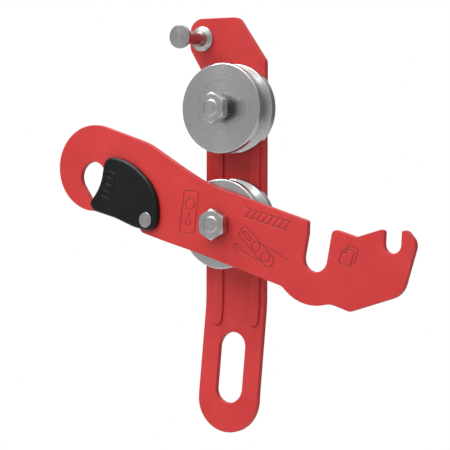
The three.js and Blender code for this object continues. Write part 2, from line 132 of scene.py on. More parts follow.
def rounded(corners, closed=True, step=6.0, longest=2.0):
    """Points and outward normals of a line with its corners (x, y, radius) rounded. Outward is
    to the right of the way the corners run."""
    where = [Vector(c[:2]) for c in corners]
    count = len(corners)
    points, normals = [], []
    for i, corner in enumerate(corners):
        if not closed and i in (0, count - 1):
            way = (where[1] - where[0] if i == 0 else where[-1] - where[-2]).normalized()
            points.append(where[i])
            normals.append(Vector((way.y, -way.x)))
            continue
        into = (where[i] - where[i - 1]).normalized()
        out = (where[(i + 1) % count] - where[i]).normalized()
        turn = math.atan2(into.x * out.y - into.y * out.x, into.dot(out))
        side = math.copysign(1, turn)
        radius = corner[2]
        start = where[i] - into * radius * math.tan(abs(turn) / 2)
        right = Vector((into.y, -into.x))
        centre = start - right * side * radius
        by_angle = math.ceil(abs(math.degrees(turn)) / step)
        steps = max(1, by_angle, math.ceil(abs(turn) * radius / longest))
        for k in range(steps + 1):
            a = turn * k / steps
            n = Vector((
                right.x * math.cos(a) - right.y * math.sin(a),
                right.x * math.sin(a) + right.y * math.cos(a),
            ))
            points.append(centre + n * side * radius)
            normals.append(n)
    full_points, full_normals = [], []
    last = len(points) if closed else len(points) - 1
    for i in range(last):
        here, there = points[i], points[(i + 1) % len(points)]
        parts = max(1, math.ceil((there - here).length / longest - 1e-6))
        for k in range(parts):
            full_points.append(here.lerp(there, k / parts))
            full_normals.append(normals[i].lerp(normals[(i + 1) % len(points)], k / parts))
    if not closed:
        full_points.append(points[-1])
        full_normals.append(normals[-1])
    return np.array(full_points), np.array([n.normalized() for n in full_normals])


def capsule(x, z_low, z_high, radius, step=10.0, longest=2.5):
    """A closed outline of two half circles joined by straight sides."""
    near = radius * 0.999  # a hair under the half circle, so that each corner keeps a length
    return rounded([
        (x - radius, z_low, near), (x + radius, z_low, near),
        (x + radius, z_high, near), (x - radius, z_high, near),
    ], step=step, longest=longest)


def circle(x, z, radius, count=28):
    angles = np.linspace(0, 2 * math.pi, count + 1)
    return np.stack([x + radius * np.cos(angles), z + radius * np.sin(angles)], axis=1)


def reversed_loop(loop):
    """The same loop as the edge of a hole: run the other way, with normals into the hole."""
    points, normals = loop
    return points[::-1], -normals[::-1]


def segments_of(lines):
    starts = np.concatenate([line[:-1] for line in lines])
    ends = np.concatenate([line[1:] for line in lines])
    return starts, ends


def distance(points, starts, ends):
    """Each point's distance to the nearest of some segments."""
    nearest = np.full(len(points), 1e9)
    for a, b in zip(starts, ends):
        along = b - a
        t = np.clip((points - a) @ along / max(along @ along, 1e-12), 0, 1)
        nearest = np.minimum(nearest, np.linalg.norm(points - a - t[:, None] * along, axis=1))
    return nearest


def inside(points, loops):
    """Which points lie within the outline and outside its holes."""
    hit = np.zeros(len(points), bool)
    x, y = points[:, 0], points[:, 1]
    for loop in loops:
        for (x0, y0), (x1, y1) in zip(loop, np.roll(loop, -1, axis=0)):
            if y0 != y1:
                hit ^= ((y0 > y) != (y1 > y)) & (x < (x1 - x0) * (y - y0) / (y1 - y0) + x0)
    return hit


def beside(line, shift):
    """A line moved sideways by a distance."""
    way = np.gradient(line, axis=0)
    if np.allclose(line[0], line[-1]):
        way[0] = way[-1] = line[1] - line[-2]
    way /= np.linalg.norm(way, axis=1)[:, None]
    return line + shift * np.stack([way[:, 1], -way[:, 0]], axis=1)


def resampled(line, longest):
    """A line with points added so that no stretch is longer than a length."""
    out = []
    for a, b in zip(line[:-1], line[1:]):
        parts = max(1, math.ceil(np.linalg.norm(b - a) / longest))
        out += [a + (b - a) * k / parts for k in range(parts)]
    return np.array(out + [line[-1]])


HAIR = 2e-4  # millimetres, far too little to see
ROW_PITCH = 0.866  # height of a row of equal triangles, for sides of 1
NEARNESS = 1e-6  # points closer than this are one point


def fill(loops, lines=(), spacing=2.5, clear=0.7):
    """Triangles of the area between loops, with edges along every line and loose points in
    between. Returns the points, the triangles, and each loop's point numbers."""
    coords, edges, rings = [], [], []
    for line, closed in [(p, True) for p in loops] + [(p, False) for p in lines]:
        first = len(coords)
        line = np.array(line, dtype=float)
        if closed:  # every other point goes out by a hair, so that no three are in line
            along = np.roll(line, -1, axis=0) - np.roll(line, 1, axis=0)
            out = np.stack([along[:, 1], -along[:, 0]], axis=1)
            out /= np.linalg.norm(out, axis=1)[:, None]
            line[1::2] += HAIR * out[1::2]
        coords += list(line)
        edges += [(first + k, first + k + 1) for k in range(len(line) - 1)]
        if closed:
            edges.append((first + len(line) - 1, first))
            rings.append(range(first, first + len(line)))
    low, high = np.min(loops[0], axis=0), np.max(loops[0], axis=0)
    rows = np.arange(low[1] + spacing / 2, high[1], spacing * ROW_PITCH)
    spots = np.array([
        (x + (spacing / 2 if k % 2 else 0), y)
        for k, y in enumerate(rows)
        for x in np.arange(low[0], high[0], spacing)
    ])
    spots = spots[inside(spots, loops)]
    fence = [np.vstack([p, p[:1]]) for p in loops] + list(lines)
    spots = spots[distance(spots, *segments_of(fence)) > clear]
    coords += list(spots)
    points, _, faces, origins, _, _ = delaunay_2d_cdt(
        [Vector(c) for c in coords], edges, [], 0, NEARNESS)
    number = {old: new for new, olds in enumerate(origins) for old in olds}
    points = np.array(points)
    rings = [[number[k] for k in ring] for ring in rings]
    sides = {side for ring in rings for side in zip(ring, ring[1:] + ring[:1])}
    faces = np.array([f for f in faces if len(f) == 3])
    kept = inside(points[faces].mean(axis=1), loops)
    for k, (a, b, c) in enumerate(faces.tolist()):
        for side in ((a, b), (b, c), (c, a)):  # a thin triangle's middle can fool the test
            if side in sides:
                kept[k] = True
            elif side[::-1] in sides:
                kept[k] = False
    return points, faces[kept], rings


# ---- Meshes ----------------------------------------------------------------------------------


def smoothstep(t):
    t = np.clip(t, 0, 1)
    return t * t * (3 - 2 * t)


def plate_mesh(loops, front, rear, front_edge, rear_edge, lines=(), rear_lines=(), mark=None):
    """A plate between two height functions, with rounded edges. Returns vertices, faces,
    vertex normals and, for each vertex, how far it is round an edge and how much dark red it
    gets: engraved lines, partly painted shade, and painted shade along creases."""
    vertices, faces, normals, wear, engraving_and_shade_values = [], [], [], [], []
    rim = [[] for _ in loops]

    def add(points, heights, new_normals, worn, sign):
        first = sum(len(v) for v in vertices)
        vertices.append(np.stack([points[:, 0], -heights, points[:, 1]], axis=1))
        normals.append(new_normals)
        wear.append(np.full(len(points), worn))
        engraving_and_shade_values.append(mark(points) if mark and sign > 0 else np.zeros(len(points)))
        return first

    for height, edge, sign, own_lines in (
        (front, front_edge, 1, lines),
        (rear, rear_edge, -1, rear_lines),
    ):
        def facing(points, height=height, sign=sign):
            step = 0.02
            slope = [
                (height(points + d) - height(points - d)) / (2 * step)
                for d in (np.array([step, 0]), np.array([0, step]))
            ]
            n = np.stack([-slope[0], -np.ones(len(points)), -slope[1]], axis=1) * sign
            return n / np.linalg.norm(n, axis=1)[:, None]

        insets = [points - n * edge for points, n in loops]
        points, triangles, rings = fill(insets, own_lines)
        first = add(points, height(points), facing(points), 0.0, sign)
        faces += [tuple(t if sign > 0 else t[::-1]) for t in (triangles + first).tolist()]
        steps = max(2, round(edge * 8))
        for j, (loop_points, loop_normals) in enumerate(loops):
            rows = [[first + k for k in rings[j]]]
            for k in range(1, steps + 1):
                a = math.pi / 2 * k / steps
                where = insets[j] + loop_normals * edge * math.sin(a)
                sideways = np.stack(
                    [loop_normals[:, 0], np.zeros(len(where)), loop_normals[:, 1]], axis=1)
                n = sideways * math.sin(a) + facing(where) * math.cos(a)
                start = add(
                    where,
                    height(where) - sign * edge * (1 - math.cos(a)),
                    n / np.linalg.norm(n, axis=1)[:, None],
                    math.sin(a),
                    sign,
                )
                rows.append(list(range(start, start + len(where))))
            rim[j] += rows if sign > 0 else rows[::-1]
    for rows in rim:
        for upper, lower in zip(rows[:-1], rows[1:]):
            for k in range(len(upper)):
                m = (k + 1) % len(upper)
                faces.append((upper[k], lower[k], lower[m], upper[m]))
    return (np.vstack(vertices), faces, np.vstack(normals),
            {"wear": np.concatenate(wear), "mark": np.concatenate(engraving_and_shade_values)})


def swept_round(points, normals, closed, directions, face_directions=None):
    """Sweeps section points (radius, height) round the axis. Each column has its own section
    when points is a list of them. Directions are the columns' unit vectors in X and Z."""
    vertices, all_normals, faces = [], [], []
    columns = len(directions)
    many = isinstance(points, list)
    rows = len(points[0]) if many else len(points)
    numbers = np.zeros((rows, columns), int)
    for i in range(rows):
        for j, (dx, dz) in enumerate(directions):
            r, h = (points[j] if many else points)[i]
            nr, nh = (normals[j] if many else normals)[i]
            if r < 1e-6 and j > 0:
                numbers[i, j] = numbers[i, 0]
                continue
            share = face_directions[i][j] if face_directions else 0.0
            hx, hz = hex_facing[j] if share else (dx, dz)
            fx, fz = dx + (hx - dx) * share, dz + (hz - dz) * share
            numbers[i, j] = len(vertices)
            vertices.append((r * dx, -h, r * dz))
            all_normals.append(Vector((nr * fx, -nh, nr * fz)).normalized())
    last = rows if closed else rows - 1
    for i in range(last):
        for j in range(columns):
            k, m = (i + 1) % rows, (j + 1) % columns
            corners = [numbers[i, j], numbers[i, m], numbers[k, m], numbers[k, j]]
            face = [int(c) for n, c in enumerate(corners) if c != corners[n - 1]]
            if len(set(face)) >= 3:
                faces.append(tuple(face))
    return np.array(vertices), faces, np.array(all_normals), {}


def lathe_mesh(corners, columns=72):
    """A turned piece from the corners (radius, height, rounding) of its half section, run
    outwards along the rear, up, and back along the front; open where it starts on the axis."""
    closed = corners[0][0] > 0
    points, normals = rounded(corners, closed=closed, step=15.0, longest=1e9)
    angles = np.arange(columns) * 2 * math.pi / columns
    return swept_round(points, normals, closed, list(zip(np.cos(angles), np.sin(angles))))


hex_points, hex_facing = rounded([
    (HEX_FLAT / math.cos(math.pi / 6) * math.cos(math.pi / 2 + k * math.pi / 3),
     HEX_FLAT / math.cos(math.pi / 6) * math.sin(math.pi / 2 + k * math.pi / 3), 0.35)
    for k in range(6)
], step=20.0, longest=0.6)


def hex_mesh(section, closed):
    """A hexagonal piece: section(reach) gives its corners where the hexagon reaches that far."""
    reach = np.linalg.norm(hex_points, axis=1)
    directions = hex_points / reach[:, None]
    columns = [
        rounded(section(r), closed=closed, step=15.0, longest=1e9) for r in reach
    ]
    points, normals = [c[0] for c in columns], [c[1] for c in columns]
    shares = [
        [
            float(np.clip(1 - abs(normals[j][i][1]) / 0.8, 0, 1)) if p[i][0] > 5 else 0.0
            for j, p in enumerate(points)
        ]
        for i in range(len(points[0]))
    ]
    return swept_round(points, normals, closed, directions, shares)


def tube_mesh(path, radius, sides=14):
    """A round wire along a path of points, closed by flat ends."""
    path = [Vector(p) for p in path]
    vertices, normals, faces = [], [], []
    across = Vector((0, 1, 0))
    for i, p in enumerate(path):
        way = (path[min(i + 1, len(path) - 1)] - path[max(i - 1, 0)]).normalized()
        other = way.cross(across).normalized()
        for k in range(sides):
            a = 2 * math.pi * k / sides
            n = across * math.cos(a) + other * math.sin(a)
            vertices.append(p + n * radius)
            normals.append(n)
    for i in range(len(path) - 1):
        for k in range(sides):
            m = (k + 1) % sides
            a, b = i * sides, (i + 1) * sides
            faces.append((a + k, a + m, b + m, b + k))
    faces.append(tuple(range(sides - 1, -1, -1)))
    faces.append(tuple(range((len(path) - 1) * sides, len(path) * sides)))
    return np.array(vertices), faces, np.array(normals), {}


def signed_volume(vertices, faces):
    total = 0.0
    for face in faces:
        a = vertices[face[0]]
        for k in range(1, len(face) - 1):
            total += a @ np.cross(vertices[face[k]], vertices[face[k + 1]])
    return total


def make_object(name, mesh_data, place):
    """A Blender object from vertices in millimetres, faces, normals and vertex values."""
    vertices, faces, normals, values = mesh_data
    if signed_volume(vertices, faces) < 0:
        faces = [face[::-1] for face in faces]
    mesh = bpy.data.meshes.new(name)
    mesh.from_pydata((vertices * MM).tolist(), [], faces)
    mesh.polygons.foreach_set("use_smooth", [True] * len(mesh.polygons))
    for key, column in values.items():
        layer = mesh.attributes.new(key, "FLOAT", "POINT")
        layer.data.foreach_set("value", np.asarray(column, np.float32))
    if normals is not None:
        mesh.normals_split_custom_set_from_vertices(normals.tolist())
    piece = bpy.data.objects.new(name, mesh)
    bpy.context.scene.collection.objects.link(piece)
    piece.matrix_world = place
    return piece


def cut(piece, others, operation):
    """Joins or cuts a piece with others by a boolean."""
    for other in others:
        step = piece.modifiers.new("cut", "BOOLEAN")
        step.object = other
        step.operation = operation
        step.solver = "MANIFOLD"
        bpy.context.view_layer.update()
        shaped = piece.evaluated_get(bpy.context.evaluated_depsgraph_get())
        mesh = bpy.data.meshes.new_from_object(shaped)
        piece.modifiers.clear()
        piece.data = mesh
    for other in others:
        bpy.data.objects.remove(other)


def resmooth(piece, angle):
    """Smooth shading with sharp creases, for a piece that booleans have cut."""
    piece.data.polygons.foreach_set("use_smooth", [True] * len(piece.data.polygons))
    piece.data.set_sharp_from_angle(angle=math.radians(angle))
    weighted = piece.modifiers.new("weighted", "WEIGHTED_NORMAL")
    weighted.keep_sharp = True


def settle(piece, body, node, material):
    """Gives a finished piece its material, and its place in the frame."""
    piece.data.materials.clear()
    piece.data.materials.append(material)
    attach(piece, body)
    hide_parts(node)
    return piece


# ---- Materials -------------------------------------------------------------------------------


def set_range(node, start, end, low, high):
    """Makes a Map Range node turn start to end into low to high."""
    for key, number in (
            ("From Min", start), ("From Max", end), ("To Min", low), ("To Max", high)):
        node.inputs[key].default_value = number


class Material:
    """A procedural material under construction: a Principled shader and the nodes that feed it."""

    def __init__(self, name, **constants):
        self.made = bpy.data.materials.new(name)
        self.made.use_nodes = True
        self.tree = self.made.node_tree
        self.shader = self.tree.nodes["Principled BSDF"]
        self.coords = self.node("TexCoord").outputs["Object"]
        for key, value in constants.items():
            self.shader.inputs[key.replace("_", " ")].default_value = value

    def node(self, kind, **settings):
        made = self.tree.nodes.new("ShaderNode" + kind)
        for key, value in settings.items():
            setattr(made, key, value)
        return made

    def link(self, source, socket):
        self.tree.links.new(source, socket)

    def noise(self, scale, detail=3.0, vector=None, roughness=0.55):
        made = self.node("TexNoise")
        made.inputs["Scale"].default_value = scale
        made.inputs["Detail"].default_value = detail
        made.inputs["Roughness"].default_value = roughness
        self.link(vector or self.coords, made.inputs["Vector"])
        return made.outputs["Fac"]

    def ranged(self, value, low, high, start=0.0, end=1.0):
        made = self.node("MapRange")
        set_range(made, start, end, low, high)
        self.link(value, made.inputs["Value"])
        return made.outputs["Result"]

    def maths(self, operation, a, b):
        made = self.node("Math", operation=operation)
        for socket, value in zip(made.inputs, (a, b)):
            if isinstance(value, (int, float)):
                socket.default_value = value
            else:
                self.link(value, socket)
        return made.outputs["Value"]

    def mixed(self, factor, a, b):
        made = self.node("Mix", data_type="RGBA")
        for socket, value in ((made.inputs[6], a), (made.inputs[7], b)):
            if isinstance(value, tuple):
                socket.default_value = (*value, 1)
            else:
                self.link(value, socket)
        self.link(factor, made.inputs[0])
        return made.outputs[2]

    def attribute(self, name):
        return self.node("Attribute", attribute_name=name).outputs["Fac"]

    def radius(self):
        """Distance from the piece's own axis, metres."""
        flat = self.node("VectorMath", operation="MULTIPLY")
        flat.inputs[1].default_value = (1, 0, 1)
        self.link(self.coords, flat.inputs[0])
        length = self.node("VectorMath", operation="LENGTH")
        self.link(flat.outputs["Vector"], length.inputs[0])
        return length.outputs["Value"]

    def rings(self, scale, detail=4.0):
        """Noise that changes only with the distance from the axis, as a lathe tool leaves."""
        made = self.node("TexNoise", noise_dimensions="1D")
        made.inputs["Scale"].default_value = scale
        made.inputs["Detail"].default_value = detail
        made.inputs["Roughness"].default_value = 0.7
        self.link(self.radius(), made.inputs["W"])
        return made.outputs["Fac"]

    def bump(self, height, depth, strength=1.0):
        """Adds a bump over those already there; depth is in metres."""
        made = self.node("Bump")
        made.inputs["Strength"].default_value = strength
        made.inputs["Distance"].default_value = depth
        self.link(height, made.inputs["Height"])
        before = self.shader.inputs["Normal"]
        if before.is_linked:
            self.link(before.links[0].from_socket, made.inputs["Normal"])
        self.link(made.outputs["Normal"], before)

    def feed(self, socket, value):
        self.link(value, self.shader.inputs[socket])


def red_finish():
    """Satin red coating on aluminium plate: faint mottling, fine orange peel, darker patches
    along the edges, and dark red painted into the engraved lines (their own colour, partly
    painted shade in the grooves) and along the ribs' feet (painted shade)."""
    m = Material("red_coating", Metallic=0.0, IOR=1.5)
    m.shader.inputs["Specular IOR Level"].default_value = 0.45
    cloud = m.ranged(m.noise(45, 4), 0, 1, 0.35, 0.65)
    base = m.mixed(cloud, (0.63, 0.033, 0.034), (0.69, 0.044, 0.042))
    worn = m.maths("MULTIPLY", m.attribute("wear"), m.ranged(m.noise(260, 5), 0.1, 0.6, 0.42, 0.62))
    base = m.mixed(worn, base, (0.33, 0.035, 0.035))
    # Dark red painted into the engraved lines, partly painted shade in their grooves, and painted
    # shade along the ribs' feet.
    base = m.mixed(m.ranged(m.attribute("mark"), 0, 0.9), base, (0.25, 0.01, 0.01))
    m.feed("Base Color", base)
    m.feed("Roughness", m.ranged(m.noise(900, 3), 0.38, 0.5, 0.3, 0.7))
    m.bump(m.noise(2600, 2), 0.000012)
    m.bump(m.noise(420, 2), 0.00001)
    return m.made


def turned_finish(name, light, dark, roughness, ring_scale, ring_depth, anisotropic=0.6):
    """Metal faced on a lathe: fine rings about the axis and gloss drawn out across them."""
    m = Material(name, Metallic=1.0, Anisotropic=anisotropic, Anisotropic_Rotation=0.25)
    tangent = m.node("Tangent", direction_type="RADIAL", axis="Y")
    m.feed("Tangent", tangent.outputs["Tangent"])
    rings = m.rings(ring_scale)
    coarse = m.rings(ring_scale * 0.5, 1)
    tone = m.maths("ADD", m.ranged(rings, 0, 0.75, 0.3, 0.7), m.ranged(coarse, 0, 0.25, 0.3, 0.7))
    m.feed("Base Color", m.mixed(tone, dark, light))
    smudge = m.ranged(m.noise(160, 4), -0.03, 0.03, 0.35, 0.65)
    m.feed("Roughness", m.maths("ADD", m.ranged(rings, *roughness, 0.3, 0.7), smudge))
    m.bump(rings, ring_depth)
    m.bump(m.rings(ring_scale * 0.13, 2), ring_depth * 2)
    return m.made


def plain_metal(name, light, dark, roughness, grain=1400, depth=0.000004):
    """Rolled or cold-formed metal: a fine even grain and cloudy gloss."""
    m = Material(name, Metallic=1.0)
    m.feed("Base Color", m.mixed(m.ranged(m.noise(220, 4), 0, 1, 0.35, 0.65), dark, light))
    m.feed("Roughness", m.ranged(m.noise(500, 4), *roughness, 0.3, 0.7))
    m.bump(m.noise(grain, 3), depth)
    return m.made


def plastic_finish():
    """Glass-filled black plastic: a fine spark texture under a low sheen."""
    m = Material("moulded_plastic", Metallic=0.0, IOR=1.48)
    cloud = m.ranged(m.noise(120, 3), 0, 1, 0.35, 0.65)
    m.feed("Base Color", m.mixed(cloud, (0.004, 0.005, 0.0045), (0.0065, 0.0075, 0.007)))
    m.shader.inputs["Specular IOR Level"].default_value = 0.3
    m.feed("Roughness", m.ranged(m.noise(700, 3), 0.26, 0.36, 0.3, 0.7))
    m.bump(m.noise(3200, 2), 0.000006)
    return m.made


RED = red_finish()
BOBBIN_METAL = turned_finish(
    "turned_aluminium", (0.67, 0.67, 0.67), (0.45, 0.45, 0.45), (0.2, 0.26), 2600, 0.000001, 0.8)
NUT_METAL = turned_finish(
    "faced_steel", (0.62, 0.62, 0.62), (0.48, 0.48, 0.48), (0.22, 0.3), 2200, 0.000001, 0.6)
STUD_METAL = turned_finish(
    "polished_steel", (0.58, 0.58, 0.58), (0.42, 0.42, 0.42), (0.2, 0.28), 2600, 0.000001, 0.7)
WASHER_METAL = plain_metal(
    "washer_steel", (0.62, 0.62, 0.61), (0.54, 0.54, 0.53), (0.26, 0.38))
# Painted shade: steel coloured near black so that the neck bush and lock washer read as the shadow
# between nut and bobbin.
SHADE_DARKENED_STEEL = plain_metal(
    "steel_painted_dark_as_shade", (0.12, 0.12, 0.12), (0.09, 0.09, 0.09), (0.3, 0.4))
SPRING_METAL = plain_metal(
    "spring_steel", (0.58, 0.57, 0.55), (0.48, 0.47, 0.46), (0.2, 0.3), 2400)
PLASTIC = plastic_finish()

# ---- Height functions ------------------------------------------------------------------------


def bend(along, start, end, offset):
    """How far a plate has leaned out at a distance along it, with softened bend lines."""
    def ramp(t):
        curve = (t + BEND_SOFTENING) ** 2 / (4 * BEND_SOFTENING)
        return np.where(t < -BEND_SOFTENING, 0, np.where(t > BEND_SOFTENING, t, curve))

    return offset / (end - start) * (ramp(along - start) - ramp(along - end))


def rib_distance(points):
    """Distance from the middle line of the nearer rib."""
    end = RIB_FOOT - 0.25
    nearest = np.full(len(points), 1e9)
    for x in (-RIB_X, RIB_X):
        z = np.clip(points[:, 1], RIB_BOTTOM_Z + end, RIB_TOP_Z - end)
        nearest = np.minimum(nearest, np.hypot(points[:, 0] - x, points[:, 1] - z))
    return nearest


def fixed_front(points):
    raised = smoothstep((RIB_FOOT - rib_distance(points)) / (RIB_FOOT - RIB_CREST))
    return bend(-points[:, 1], **FIXED_BEND) + RIB_HEIGHT * raised


def fixed_rear(points):
    pressed = smoothstep((GROOVE_LIP - rib_distance(points)) / (GROOVE_LIP - GROOVE_FLOOR))
    return bend(-points[:, 1], **FIXED_BEND) - PLATE_THICKNESS + RIB_HEIGHT * pressed


arm_way = np.array([math.cos(math.radians(ARM_ANGLE)), math.sin(math.radians(ARM_ANGLE))])


def swing_rear(points):
    return SWING_REAR - bend(points @ arm_way, **ARM_BEND)


# ---- Engraved marks --------------------------------------------------------------------------


def placed(lines, x, z, degrees):
    """Lines drawn about their own origin, turned and moved to a place."""
    a = math.radians(degrees)
    turn = np.array([[math.cos(a), math.sin(a)], [-math.sin(a), math.cos(a)]])
    return [resampled(np.array(line, float) @ turn + (x, z), 0.6) for line in lines]


def closed_line(corners, step=20.0):
    points, _ = rounded(corners, step=step, longest=1e9)
    return np.vstack([points, points[:1]])


def size_panel():
    """A frame with a thin and a thick rope end in it."""
    half_width, half_length, corner = 4.1, 10.0, 1.3
    outline = closed_line([
        (-half_width, -half_length, corner), (half_width, -half_length, corner),
        (half_width, half_length, corner), (-half_width, half_length, corner),
    ])
    return [outline, circle(0, -4.9, 1.5, 20), circle(0, 3.9, 2.5), [(0, -2.2), (0, 0.2)]]


def rope_band():
    """A length of twisted rope."""
    sides = [[(-12, -2.1), (12, -2.1)], [(-12, 2.1), (12, 2.1)]]
    return sides + [[(x - 1, -2.1), (x + 1, 2.1)] for x in np.arange(-10.5, 11, 3)]


def route_diagram():
    """A rope's way round the two bobbins, with an arrow on its free end."""
    case = closed_line([
        (-11.6, -2.9, 2.8), (11.6, -2.9, 2.8), (11.6, 2.9, 2.8), (-11.6, 2.9, 2.8)])
    slot = closed_line([
        (-9.8, -0.9, 0.85), (-4.6, -0.9, 0.85), (-4.6, 0.9, 0.85), (-9.8, 0.9, 0.85)])
    load = [(15.5, 7.6), (12.2, 6.6), (-0.2, 2.4)]
    free = [(6.6, -2.5), (1.5, -5.2), (-3.5, -6.6), (-9.4, -7.4)]
    arrow = [(-7.6, -5.6), (-9.6, -7.4), (-7.2, -8.6)]
    return [case, slot, circle(-0.4, 0, 2.3, 22), circle(6.4, 0, 2.3, 22), load, free, arrow]


def folded_sheet():
    """Two blank sheets, one behind the other, the front one with its corner folded down."""
    front = [(-4.4, 3.4), (0.8, 3.4), (2.8, 1.4), (2.8, -2.6), (-4.4, -2.6), (-4.4, 3.4)]
    fold = [(0.8, 3.4), (0.8, 1.4), (2.8, 1.4)]
    behind = [(2.8, 1.0), (4.4, 1.0), (4.4, -4.2), (-2.4, -4.2), (-2.4, -2.6)]
    return [front, fold, behind]


def grip_panel():
    """A rounded frame with three bars in it."""
    frame_line = closed_line([
        (-2.9, -6.4, 1.2), (2.9, -6.4, 1.2), (2.9, 6.4, 1.2), (-2.9, 6.4, 1.2)])
    return [frame_line] + [[(-1.3, z), (1.3, z)] for z in (-3.4, 0.0, 3.4)]


PLATE_STROKES = (
    placed(size_panel(), -15.1, 5.4, -8)
    + placed(rope_band(), 27.4, 2.8, -14.8)
    + placed(route_diagram(), 21.6, -10.3, -44.5)
    + placed(folded_sheet(), 69.0, -13.0, 72)
)
GRIP_STROKES = placed(grip_panel(), -23.6, 17.0, -17)


def stroke_depth(points, strokes, width):
    """How deep in a stroke each point is, from 0 beside it to 1 along its middle."""
    return smoothstep(1 - distance(points, *segments_of(strokes)) / (width / 2))


def stroke_lines(strokes, width):
    """The lines that the mesh follows along strokes."""
    return [beside(s, width * share) for s in strokes for share in (-0.5, -0.25, 0, 0.25, 0.5)]


# ---- Side plates -----------------------------------------------------------------------------


def round_hole(x, z, radius):
    """The loop of a round hole's edge, with normals into the hole."""
    return reversed_loop((circle(x, z, radius, 32)[:-1], circle(0, 0, 1, 32)[:-1]))


def fixed_plate():
    outline = rounded([
        (-26.4, 98.1, 6.8), (-26.4, 83.4, 6.0), (-17.2, 68.4, 6.0),
        (-17.2, -99.5, 16.15), (15.2, -99.5, 16.15), (15.2, 77.0, 3.0), (0.4, 98.1, 5.0),
    ])
    slot = reversed_loop(capsule(
        SLOT_X, SLOT_Z - SLOT_HALF_LENGTH, SLOT_Z + SLOT_HALF_LENGTH, SLOT_RADIUS, step=8.0))
    holes = [
        round_hole(0, 0, BORE), round_hole(0, AXLE_SPACING, BORE),
        round_hole(STUD_X, STUD_Z, STUD_HOLE_RADIUS),
    ]

    def contours(distances):
        inset = RIB_FOOT - 0.25
        loops = []
        for x in (-RIB_X, RIB_X):
            for d in distances:
                line, _ = capsule(
                    x, RIB_BOTTOM_Z + inset - d, RIB_TOP_Z - inset + d, d, step=15.0)
                loops.append(np.vstack([line, line[:1]]))
        return loops

    # Painted shade: a thin dark band either side of each rib's foot, where the crease would be in
    # shade.
    def painted_crease_shade(points):
        beside_foot = np.abs(rib_distance(points) - RIB_FOOT) / CREASE_WIDTH
        return CREASE_SHADE * smoothstep(1 - beside_foot)

    mesh = plate_mesh(
        [outline, slot, *holes], fixed_front, fixed_rear, PLATE_EDGE, PLATE_EDGE,
        lines=contours([*np.linspace(RIB_CREST, RIB_FOOT, 5), *np.linspace(
            RIB_FOOT + CREASE_WIDTH / 3, RIB_FOOT + CREASE_WIDTH, 3)]),
        rear_lines=contours(np.linspace(GROOVE_FLOOR, GROOVE_LIP, 5)), mark=painted_crease_shade,
    )
    piece = make_object("fixed_plate", mesh, at())
    settle(piece, "frame", "fixed_side_plate", RED)


def notch(x, z, radius, lean):
    """The two corners at the round bottom of a notch that leans by some degrees."""
    a = math.radians(lean)
    up, right = (math.sin(a), math.cos(a)), (math.cos(a), -math.sin(a))
    return [
        (x + radius * (side * right[0] - up[0]), z + radius * (side * right[1] - up[1]),
         radius * 0.995)
        for side in (-1, 1)
    ]


def swing_plate():
    outline = rounded([
        (-95.1, 54.4, 21.0), (-95.1, 5.1, 21.0), (-72.0, 5.1, 0.95),
        (-84.71, 22.88, 7.55), (-73.96, 31.98, 7.55), (-64.2, 22.2, 2.0), (-47.0, 6.3, 3.0),
        (-44.0, -4.6, 3.8), (-10.0, -13.8, 60.0), (34.7, -27.8, 5.0), (45.8, -38.3, 21.5),
        (59.7, -35.0, 10.0), (69.8, -38.3, 2.5), (95.9, -30.0, 10.0), (103.0, -6.5, 6.0),
        (98.4, -1.2, 3.0), (95.65, -1.0, 1.2), *notch(91.05, -7.3, 4.25, 3.0)[::-1],
        (87.2, -0.3, 1.6), (73.2, -4.5, 2.5), (61.1, -0.9, 2.4),
        *notch(52.35, -14.8, 6.1, 10.8)[::-1], (48.3, -3.4, 5.0), (48.5, 2.4, 1.6),
        (-5.6, 19.0, 60.0), (-40.1, 38.1, 45.0),
    ])
    holes = [
        round_hole(0, 0, PIVOT_HOLE_RADIUS), round_hole(RIVET_X, RIVET_Z, RIVET_HOLE_RADIUS)]

    def depth(points):
        return stroke_depth(points, PLATE_STROKES, STROKE_WIDTH)

    def front(points):
        return swing_rear(points) + PLATE_THICKNESS - STROKE_DEPTH * depth(points)

    mesh = plate_mesh(
        [outline, *holes], front, swing_rear, PLATE_EDGE, PLATE_EDGE,
        lines=stroke_lines(PLATE_STROKES, STROKE_WIDTH), mark=depth,
    )
    piece = make_object("swing_plate", mesh, at())
    settle(piece, "side_plate", "swinging_side_plate", RED)


fixed_plate()
swing_plate()

# ---- Bobbins, bolts, nuts and washers --------------------------------------------------------


def bobbin(name, node, z):
    """A turned bobbin with a deep rope groove, slotted at the back to sit over the ribs."""
    r, end = BOBBIN_RADIUS, BOBBIN_LENGTH
    piece = make_object(name, lathe_mesh([
        (BORE, FACE_GAP, 0.2), (r, FACE_GAP, 0.7), (r, 3.86, 0.5), (10.97, 8.0, 1.39),
        (r, 12.14, 0.5), (r, end, 0.8), (BORE, end, 0.2),
    ], columns=192), at(0, z))
    cutters = []
    for x in (-RIB_X, RIB_X):
        loop = capsule(x, RIB_BOTTOM_Z - z, RIB_TOP_Z - z, RIB_FOOT + 0.15, step=15.0)
        mesh = plate_mesh(
            [loop], lambda p: np.full(len(p), RIB_HEIGHT + 0.3),
            lambda p: np.full(len(p), -1.0), 0.1, 0.1)
        cutters.append(make_object(f"{name}_cutter", (*mesh[:2], None, {}), at(0, z)))
    cut(piece, cutters, "DIFFERENCE")
    resmooth(piece, 35)
    settle(piece, "frame", node, BOBBIN_METAL)


def turned_piece(name, node, corners, x, z, material, columns=72):
    piece = make_object(name, lathe_mesh(corners, columns), at(x, z))
    settle(piece, "frame", node, material)


def ring_section(inner, outer, rear, front, soften=0.2):
    return [(inner, rear, soften), (outer, rear, soften), (outer, front, soften),
            (inner, front, soften)]


